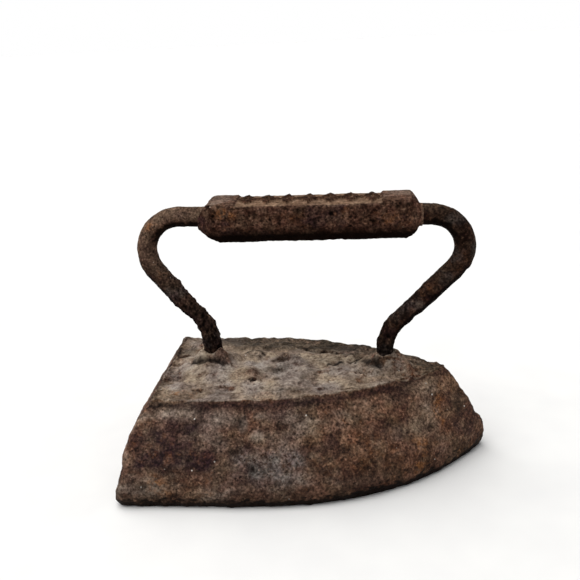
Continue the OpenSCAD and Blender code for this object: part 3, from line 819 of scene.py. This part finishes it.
def build_bar(name, node, start, end, start_slant, end_slant):
    """A stretch of the bar between two lengths; a slant tilts the end's face as a scarf joint does."""
    a = np.linspace(0, 2 * math.pi, BAR_SIDES, endpoint=False)
    rows = int((end - start) / BAR_STEP) + 1
    v = np.linspace(0, 1, rows)[:, None]
    first = start + start_slant * np.sin(a)[None, :]
    last = end + end_slant * np.sin(a)[None, :]
    s = (first + v * (last - first)).ravel()
    angle = np.tile(a, rows)
    x, z, dx, dz = on_route(s)
    to_foot = np.minimum(s, TOTAL - s)
    radius = FOOT_R + (BAR_R - FOOT_R) * smooth(to_foot, 25, 75)
    # sin(angle) points to the inside or outside of the bends, cos(angle) along Y.
    side = np.stack([-dz * np.sin(angle), np.cos(angle), dx * np.sin(angle)], axis=1)
    centre = np.stack([x, np.zeros_like(x), z], axis=1)
    p = centre + side * radius[:, None]
    rough = 0.3 + 0.8 * (1 - smooth(to_foot, 42, 62)) * (s < TOTAL / 2) + 0.45 * (1 - smooth(to_foot, 15, 60))
    lumps, medium = fbm(p, 6.0, 2, 111), fbm(p, 2.4, 3, 121, 0.6)
    small, large = pits(p, 1.9, 131, 0.55), pits(p, 4.5, 135, 0.35)
    push = rough * (0.36 * lumps + 0.28 * medium - 0.32 * small - 0.32 * large)
    push += 0.12 + 0.2 * smooth(to_foot, 38, 50) * (1 - smooth(to_foot, 62, 75))
    push += 0.16 * smooth(s, TOTAL * 0.55, TOTAL * 0.62) * smooth(to_foot, 40, 52)
    swell = 0.3 * smooth(s, front_lap - 34, front_lap - 20) * (1 - smooth(s, front_lap - 6, front_lap))
    push += swell * side[:, 0]
    if node == "handle_bow":
        push += 0.45 * np.exp(-np.abs(s - rear_weld) / 5.0) + 0.3 * np.exp(-np.abs(s - front_weld) / 4.0)
    else:
        push -= 0.16 * np.exp(-np.minimum(np.abs(s - rear_weld), np.abs(s - front_weld)) / 3.0)
    # The forged lap on the outside of the front bend, and the lumps the welding left.
    outer = smooth(side[:, 0] + 0.3 * side[:, 2], 0.0, 0.9)
    lap = 0.75 * outer * smooth(s, front_lap, front_lap + 1.2)
    push -= lap * (1 - smooth(s, front_lap + 9, front_lap + 20))
    push += 0.5 * paint_spots(p, [((-52.9, -4, 75.6), (3.5, 3, 2.6), 1), ((49.0, -4, 69.2), (3, 3, 3), 0.8),
                                  ((50.5, -1, 65.0), (3, 4, 2), 0.9)])
    points = p + side * push[:, None]
    quads = grid_faces(rows, BAR_SIDES, True)
    caps = [range(BAR_SIDES - 1, -1, -1), range(len(points) - BAR_SIDES, len(points))]
    up = side[:, 2]
    patches = fbm(p, 12.0, 3, 141)
    low = 1 - smooth(to_foot, 42, 75)
    rear = 1 - smooth(s, TOTAL * 0.35, TOTAL * 0.6)
    # Painted shade on the bar's undersides, weaker on the rear part.
    shade = smooth(-(up + 0.1 * side[:, 1] - 0.12 * medium), 0.02 + 0.16 * rear, 0.42 + 0.16 * rear)
    seam = band(s - front_lap, 0.6, 0.6) * outer
    foot = 1 - smooth(p[:, 2], 46, 62)
    paint = {
        # Dusty colour on the upper side; the rear part is painted light, reaching round its sides.
        "dust_and_painted_light": (0.14 + 0.3 * patches + 0.12 * rear) * smooth(up + 0.6 * rear, 0.1, 1.0)
        * (1 - 0.75 * low)
        + paint_spots(p, [((-52.9, -4.2, 75.6), (2.6, 3, 2.6), 1.0), ((49.0, -4, 69.2), (2.2, 2.5, 2.2), 1.0),
                          ((-51.0, -3, 79.0), (3, 3, 2), 0.5)]),
        "warm": 0.5 + patches,
        # Dark pits, dark lower legs and feet, a dark seam at the lap, painted shade on the front part, and
        # painted shade on the undersides.
        "hollow_and_painted_shade": np.maximum(
            rough * (0.7 * small + 0.5 * large) + low * (0.5 + 0.35 * medium) + 0.25 * foot
            + 0.6 * (1 - rear) * (1 - low) + 0.7 * seam,
            0.97 * shade),
        "orange": paint_spots(p, [((-63.5, -3, 106), (6, 5, 4), 0.75), ((-38.5, -2, 47), (5, 5, 4), 0.6),
                                  ((-60, -4, 86), (6, 4, 6), 0.4), ((50, -3, 78), (10, 4, 14), 0.35)]),
        "purple": smooth(patches, 0.1, 0.5) * 0.6 + 0.3 * low,
        "blue_grey_and_painted_sheen": 0.35 * smooth(-patches, 0.2, 0.6),
        "moss": 0 * up}
    return add_piece(name, points, quads, caps, node, bar_rust, paint)


front_lap = length_at((67.5, 85.5))
slant = BAR_R / math.tan(SCARF_ANGLE)
build_bar("rear_post_bar", "rear_post", 0, rear_weld, 0, -slant)
build_bar("handle_bar", "handle_bow", rear_weld, front_weld, -slant, slant)
build_bar("front_post_bar", "front_post", front_weld, TOTAL, slant, 0)

# ---- Grip --------------------------------------------------------------------------------------

grip_low, grip_high = box_mm("grip")
GRIP_REAR, GRIP_FRONT = grip_low[0], grip_high[0]
GRIP_BOTTOM, GRIP_TOP = grip_low[2], grip_high[2]
GRIP_HALF_W = grip_high[1]
GRIP_BOTTOM_HALF_W = 5.6
SHOULDER_Z = GRIP_TOP - 2.2
WAIST_Z = GRIP_TOP - 8.4
PANEL_DEPTH, PANEL_EDGE = 1.0, 0.7
PANEL_REAR, PANEL_FRONT = GRIP_REAR + 16.0, GRIP_FRONT - 16.0
LOZENGES, LOZENGE_LEN, LOZENGE_WIDTH, LOZENGE_LINE, DOT_R = 7, 7.0, 15.6, 1.8, 1.1
GRIP_MIDDLE_Z = 108.3
EDGE_SHARPNESS = 22
GRIP_STEP, GRIP_SIDES = 0.33, 210

GRIP_SIDE = [
    (GRIP_BOTTOM_HALF_W, GRIP_BOTTOM), (GRIP_HALF_W - 0.6, WAIST_Z - 1.5), (GRIP_HALF_W, WAIST_Z + 1),
    (GRIP_HALF_W, SHOULDER_Z), (GRIP_HALF_W - 1.4, GRIP_TOP)]
GRIP_TOP_LINE = [
    (GRIP_REAR, WAIST_Z + 2.2), (GRIP_REAR + 2.4, SHOULDER_Z - 0.2), (GRIP_REAR + 5.0, GRIP_TOP + 0.25),
    (GRIP_FRONT - 4.4, GRIP_TOP + 0.2), (GRIP_FRONT - 1.9, SHOULDER_Z + 0.2), (GRIP_FRONT, WAIST_Z + 2.5)]
GRIP_BOTTOM_LINE = [
    (GRIP_REAR, WAIST_Z - 2.4), (GRIP_REAR + 3.2, GRIP_BOTTOM + 3.6),
    (GRIP_REAR + 6.2, GRIP_BOTTOM + 0.9), (GRIP_REAR + 8.6, GRIP_BOTTOM - 0.3),
    (GRIP_REAR + 20, GRIP_BOTTOM - 0.1), (GRIP_FRONT - 6.6, GRIP_BOTTOM),
    (GRIP_FRONT - 4.2, GRIP_BOTTOM + 1.3), (GRIP_FRONT - 1.2, WAIST_Z - 3.0), (GRIP_FRONT, WAIST_Z - 2.8)]
GRIP_PLAN = [
    (GRIP_REAR, 5.2), (GRIP_REAR + 7, GRIP_HALF_W), (GRIP_FRONT - 6.2, GRIP_HALF_W),
    (GRIP_FRONT - 1.2, 6.4), (GRIP_FRONT, 5.2)]
REAR_COLLAR_R, FRONT_COLLAR_R = 4.0, 4.6


def line_at(line, x):
    return np.interp(x, [q[0] for q in line], [q[1] for q in line])


def panel_share(x):
    from_rear = smooth(x, PANEL_REAR - PANEL_EDGE, PANEL_REAR + PANEL_EDGE)
    return from_rear * (1 - smooth(x, PANEL_FRONT - PANEL_EDGE, PANEL_FRONT + PANEL_EDGE))


route_top = route[route[:, 1] > 100]


def bar_z_at(x):
    """Height of the bar's centre line where it passes through the grip."""
    return np.interp(x, route_top[:, 0], route_top[:, 1])


def grip_radius(x, angle):
    """Distance from the grip's middle line to its surface; angle runs from +Y towards +Z."""
    y, z = np.cos(angle), np.sin(angle)
    total = np.zeros(len(x))
    for (y0, z0), (y1, z1) in zip(GRIP_SIDE[:-1], GRIP_SIDE[1:]):
        ny, nz = (z1 - z0), -(y1 - y0)
        size = math.hypot(ny, nz)
        reach = (ny * y0 + nz * (z0 - GRIP_MIDDLE_Z)) / size
        for mirror in (1, -1):
            total += np.clip((mirror * ny * y + nz * z) / size / reach, 0, None) ** EDGE_SHARPNESS
    above = line_at(GRIP_TOP_LINE, x) - PANEL_DEPTH * panel_share(x) - GRIP_MIDDLE_Z
    below = GRIP_MIDDLE_Z - line_at(GRIP_BOTTOM_LINE, x)
    total += np.clip(z / above, 0, None) ** EDGE_SHARPNESS
    total += np.clip(-z / below, 0, None) ** EDGE_SHARPNESS
    total += np.clip(np.abs(y) / line_at(GRIP_PLAN, x), 0, None) ** EDGE_SHARPNESS
    skin = total ** (-1 / EDGE_SHARPNESS)
    # A thin sleeve round the bar shows where the tapered ends are narrower than the bar.
    off = bar_z_at(x) - GRIP_MIDDLE_Z
    collar = np.where(x < 0, REAR_COLLAR_R, FRONT_COLLAR_R)
    sleeve = off * z + np.sqrt(collar ** 2 - (off * y) ** 2)
    return (skin ** EDGE_SHARPNESS + sleeve ** EDGE_SHARPNESS) ** (1 / EDGE_SHARPNESS)


def grip_mark(x, y):
    """Height share of the raised marks: outlined lozenges with dots between them."""
    pitch = (PANEL_FRONT - PANEL_REAR) / LOZENGES
    i = np.clip(np.floor((x - PANEL_REAR) / pitch), 0, LOZENGES - 1)
    u = x - PANEL_REAR - (i + 0.5) * pitch
    edge = np.abs(u) / (LOZENGE_LEN / 2) + np.abs(y) / (LOZENGE_WIDTH / 2)
    line = 2.4 * LOZENGE_LINE / LOZENGE_LEN
    outline = (1 - smooth(edge, 0.96, 1.1)) * smooth(edge, 1 - line - 0.12, 1 - line + 0.04)
    j = np.clip(np.round((x - PANEL_REAR) / pitch), 1, LOZENGES - 1)
    dot = 1 - smooth(np.hypot(x - PANEL_REAR - j * pitch, y), DOT_R - 0.25, DOT_R + 0.35)
    return np.maximum(outline, dot) * panel_share(x)


def build_grip():
    rows = int((GRIP_FRONT - GRIP_REAR) / GRIP_STEP) + 1
    x_rows = np.linspace(GRIP_REAR, GRIP_FRONT, rows)
    fine = np.linspace(0, 2 * math.pi, 4000)
    r = grip_radius(np.full(4000, 10.0), fine)
    girth = np.hypot(np.diff(r * np.cos(fine)), np.diff(r * np.sin(fine)))
    girth = np.concatenate([[0], np.cumsum(girth)])
    a = np.interp(np.linspace(0, girth[-1], GRIP_SIDES, endpoint=False), girth, fine)
    angle = np.tile(a, rows)
    x = np.repeat(x_rows, GRIP_SIDES)
    radius = grip_radius(x, angle)
    p = np.stack([x, radius * np.cos(angle), GRIP_MIDDLE_Z + radius * np.sin(angle)], axis=1)

    # Rings that close each end on to the bar.
    ends = []
    unit = np.stack([np.zeros(GRIP_SIDES), np.cos(a), np.sin(a)], axis=1)
    for end_x, sign, row in ((GRIP_REAR, -1, p[:GRIP_SIDES]), (GRIP_FRONT, 1, p[-GRIP_SIDES:])):
        middle = np.array([end_x, 0, float(bar_z_at(end_x))])
        rings = []
        for out, r_ring, blend in ((0.18, 4.4, 0.25), (0.28, 4.2, 0.6), (0.3, 4.0, 0.9), (0.3, 3.6, 1.0)):
            ring = middle + unit * r_ring
            rings.append(row * (1 - blend) + ring * blend + np.array([sign * out, 0, 0]))
        ends.append(np.concatenate(rings[::-1] if sign < 0 else rings))
    is_skin = np.concatenate([np.zeros(len(ends[0])), np.ones(len(p)), np.zeros(len(ends[1]))])
    p = np.concatenate([ends[0], p, ends[1]])
    total_rows = len(p) // GRIP_SIDES
    quads = grid_faces(total_rows, GRIP_SIDES, True)
    normals = vertex_normals(p, quads)
    if (normals[:, 2] * (p[:, 2] - GRIP_MIDDLE_Z)).sum() < 0:
        quads = quads[:, ::-1]
        normals = -normals
    top = smooth(normals[:, 2], 0.75, 0.95)
    wander = drift(p, 3.5, 205, 207)
    mark = grip_mark(p[:, 0] + 0.35 * wander[:, 0], p[:, 1] + 0.4 * wander[:, 1]) * top
    mark *= np.clip(1.05 + 0.4 * noise(p, 5.0, 209), 0, 1)
    panel = panel_share(p[:, 0]) * top

    lumps, medium = fbm(p, 7.0, 3, 211), fbm(p, 2.6, 3, 221, 0.6)
    small, large, fine = pits(p, 1.9, 231, 0.55), pits(p, 4.2, 235, 0.25), pits(p, 1.2, 237, 0.5)
    worn = 1 - 0.6 * top
    push = worn * (0.26 * lumps + 0.18 * medium - 0.26 * small - 0.28 * large - 0.16 * fine)
    push *= 0.3 + 0.7 * is_skin
    push += 1.1 * PANEL_DEPTH * mark
    push += 0.3 * smooth(-normals[:, 2], 0.5, 0.95) * is_skin
    push += 0.3 * paint_spots(p, [((GRIP_REAR - 0.2, -4.8, 104.6), (1.8, 2.6, 2.4), 1.0)])
    points = p + normals * push[:, None]
    up = normals[:, 2]
    patches = fbm(p, 13.0, 3, 241)
    edge = smooth(up, 0.25, 0.55) * (1 - smooth(up, 0.75, 0.95))
    blocks = top * (1 - panel_share(p[:, 0]))
    sleeve = smooth(p[:, 0], GRIP_FRONT - 0.9, GRIP_FRONT - 0.3)
    ground = panel * (1 - mark)
    paint = {
        "dust_and_painted_light": ground * np.clip(0.82 + 0.4 * noise(p, 3.0, 253), 0, 1)
        + blocks * np.clip(0.34 + 0.3 * patches, 0, 1)
        + 0.3 * edge * np.clip(0.6 + patches, 0, 1) + 0.5 * sleeve
        + 0.12 * smooth(up, -0.2, 0.3) * np.clip(fbm(p, 5.0, 2, 255), 0, 1),
        "warm": np.clip(0.25 * blocks + 0.8 * panel + 0.5 * sleeve, 0, 1),
        # Dark pits, marks and specks, a little darker off the top, and painted shade from the waist down,
        # near black at the bottom.
        "hollow_and_painted_shade": np.maximum(
            worn * (0.7 * small + 0.7 * large + 0.7 * fine) + 0.5 * smooth(mark, 0.25, 0.8) + 0.12 * (1 - top)
            + 0.35 * ground * smooth(noise(p, 1.8, 251), 0.3, 0.6),
            np.clip((WAIST_Z + 0.6 * medium - p[:, 2]) / 5.5, 0, 1) ** 0.8),
        "orange": paint_spots(p, [((-30, -10.5, 112), (7, 5, 4), 0.9), ((36, -10, 108), (12, 4, 6), 0.35),
                                  ((-4, -10, 110), (14, 4, 4), 0.25)]),
        "purple": smooth(patches, 0.05, 0.5) * 0.6 * worn,
        "blue_grey_and_painted_sheen": 0.6 * blocks * smooth(patches, -0.2, 0.3),
        "moss": 0.0 * up}
    caps = [range(GRIP_SIDES - 1, -1, -1), range(len(points) - GRIP_SIDES, len(points))]
    return add_piece("grip_casting", points, quads, caps, "grip", grip_rust, paint)


build_grip()

# ---- Stage, light and camera -------------------------------------------------------------------

def build_floor():
    mesh = bpy.data.meshes.new("floor")
    half = 30.0
    corners = [(-half, -half, 0), (half, -half, 0), (half, half, 0), (-half, half, 0)]
    mesh.from_pydata(corners, [], [(0, 1, 2, 3)])
    n = Nodes("floor_paper")
    tone = n.mix(n.range(n.noise(30, 2, 0.5), 0.3, 0.7), (0.82, 0.82, 0.82), (0.86, 0.86, 0.855))
    mesh.materials.append(n.finish(tone, 0.9, n.bump(n.noise(0.8, 2, 0.5), 0.02, 0.2), 0.2))
    floor = bpy.data.objects.new("floor", mesh)
    bpy.context.scene.collection.objects.link(floor)


def direction_rotation(direction):
    """Turns -Z along a direction, as lamps point."""
    return Vector(direction).to_track_quat("-Z", "Y").to_euler()


def build_sun():
    """A wide, soft sun almost overhead, a little to the rear and to the heel's side."""
    light = bpy.data.lights.new("soft_sky", "SUN")
    light.energy = 2.9
    light.angle = math.radians(75)
    light.color = (1.0, 0.99, 0.97)
    lamp = bpy.data.objects.new("soft_sky", light)
    bpy.context.scene.collection.objects.link(lamp)
    lamp.rotation_euler = direction_rotation((0.42, -0.12, -1.0))


def build_room():
    """A pale room: brightest near the floor line and dimmer overhead."""
    world = bpy.data.worlds.new("room")
    bpy.context.scene.world = world
    world.use_nodes = True
    tree = world.node_tree
    place = tree.nodes.new("ShaderNodeTexCoord")
    split = tree.nodes.new("ShaderNodeSeparateXYZ")
    fall = tree.nodes.new("ShaderNodeMapRange")
    fall.interpolation_type = "SMOOTHSTEP"
    for key, value in {"From Min": 0.1, "From Max": 0.4, "To Min": 1.0, "To Max": 0.36}.items():
        fall.inputs[key].default_value = value
    tree.links.new(place.outputs["Generated"], split.inputs[0])
    tree.links.new(split.outputs["Z"], fall.inputs["Value"])
    tree.links.new(fall.outputs[0], tree.nodes["Background"].inputs["Strength"])
    tree.nodes["Background"].inputs["Color"].default_value = (1.0, 1.0, 1.0, 1)


build_floor()
build_sun()
build_room()


CAMERA_PLACE = (0.02475, -0.2893, 0.1779)
CAMERA_YAW, CAMERA_PITCH, CAMERA_ROLL = -6.108, 19.409, -2.967
CAMERA_LENS_MM = 44.37


def build_camera():
    yaw, pitch, roll = (math.radians(d) for d in (CAMERA_YAW, CAMERA_PITCH, CAMERA_ROLL))
    forward = Vector((math.sin(yaw) * math.cos(pitch), math.cos(yaw) * math.cos(pitch), -math.sin(pitch)))
    level = Vector((math.cos(yaw), -math.sin(yaw), 0))
    upright = level.cross(forward)
    right = math.cos(roll) * level + math.sin(roll) * upright
    up = -math.sin(roll) * level + math.cos(roll) * upright
    data = bpy.data.cameras.new("camera")
    data.sensor_width = 36
    data.lens = CAMERA_LENS_MM
    data.clip_start = 0.01
    camera = bpy.data.objects.new("camera", data)
    bpy.context.scene.collection.objects.link(camera)
    turn = Matrix((right, up, -forward)).transposed().to_4x4()
    camera.matrix_world = Matrix.Translation(CAMERA_PLACE) @ turn
    bpy.context.scene.camera = camera


build_camera()
bpy.context.scene.view_settings.view_transform = "Standard"
